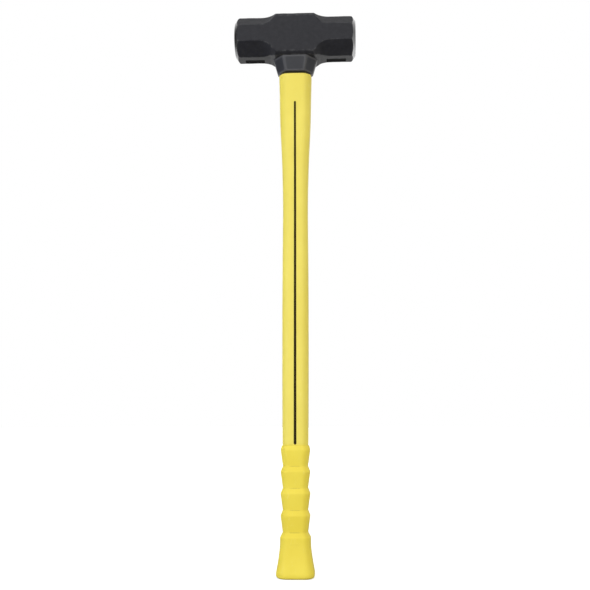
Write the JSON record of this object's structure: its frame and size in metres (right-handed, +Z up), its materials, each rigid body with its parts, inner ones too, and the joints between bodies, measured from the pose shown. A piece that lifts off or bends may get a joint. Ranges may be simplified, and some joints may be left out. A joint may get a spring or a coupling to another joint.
{
  "type": "sledgehammer",
  "caption": "Long-handled double-faced sledgehammer: black octagonal steel head, tapered black collar, yellow jacketed handle with a black stripe and a stepped grip flaring at the butt.",
  "frame": {"origin": "centre of the flat butt end, on the handle's axis", "axes": "+Z up the handle to the head, +X along the head to its right striking face, -Y the front that carries the front stripe"},
  "size_m": [0.202, 0.069, 0.914],
  "materials": {
    "black_steel": "satin black coat over drop-forged steel, ground bright on the striking faces and their bevels",
    "black_nylon": "semi-gloss moulded nylon",
    "fibreglass": "pultruded glass fibre, sanded end",
    "epoxy": "cured amber-brown epoxy, slightly dished",
    "seal_rubber": "soft black rubber",
    "yellow_jacket": "satin moulded resin, bright yellow",
    "black_inlay": "flush dark inlay strip",
    "yellow_grip": "soft moulded vinyl, slightly warmer yellow, fine grain"
  },
  "bodies": {
    "root": {"head": "black_steel", "collar": "black_nylon", "core_rod": "fibreglass", "eye_bond": "epoxy", "eye_seal": "seal_rubber", "handle_jacket": "yellow_jacket", "stripe_front": "black_inlay", "stripe_back": "black_inlay", "grip_sleeve": "yellow_grip"}
  },
  "joints": []
}
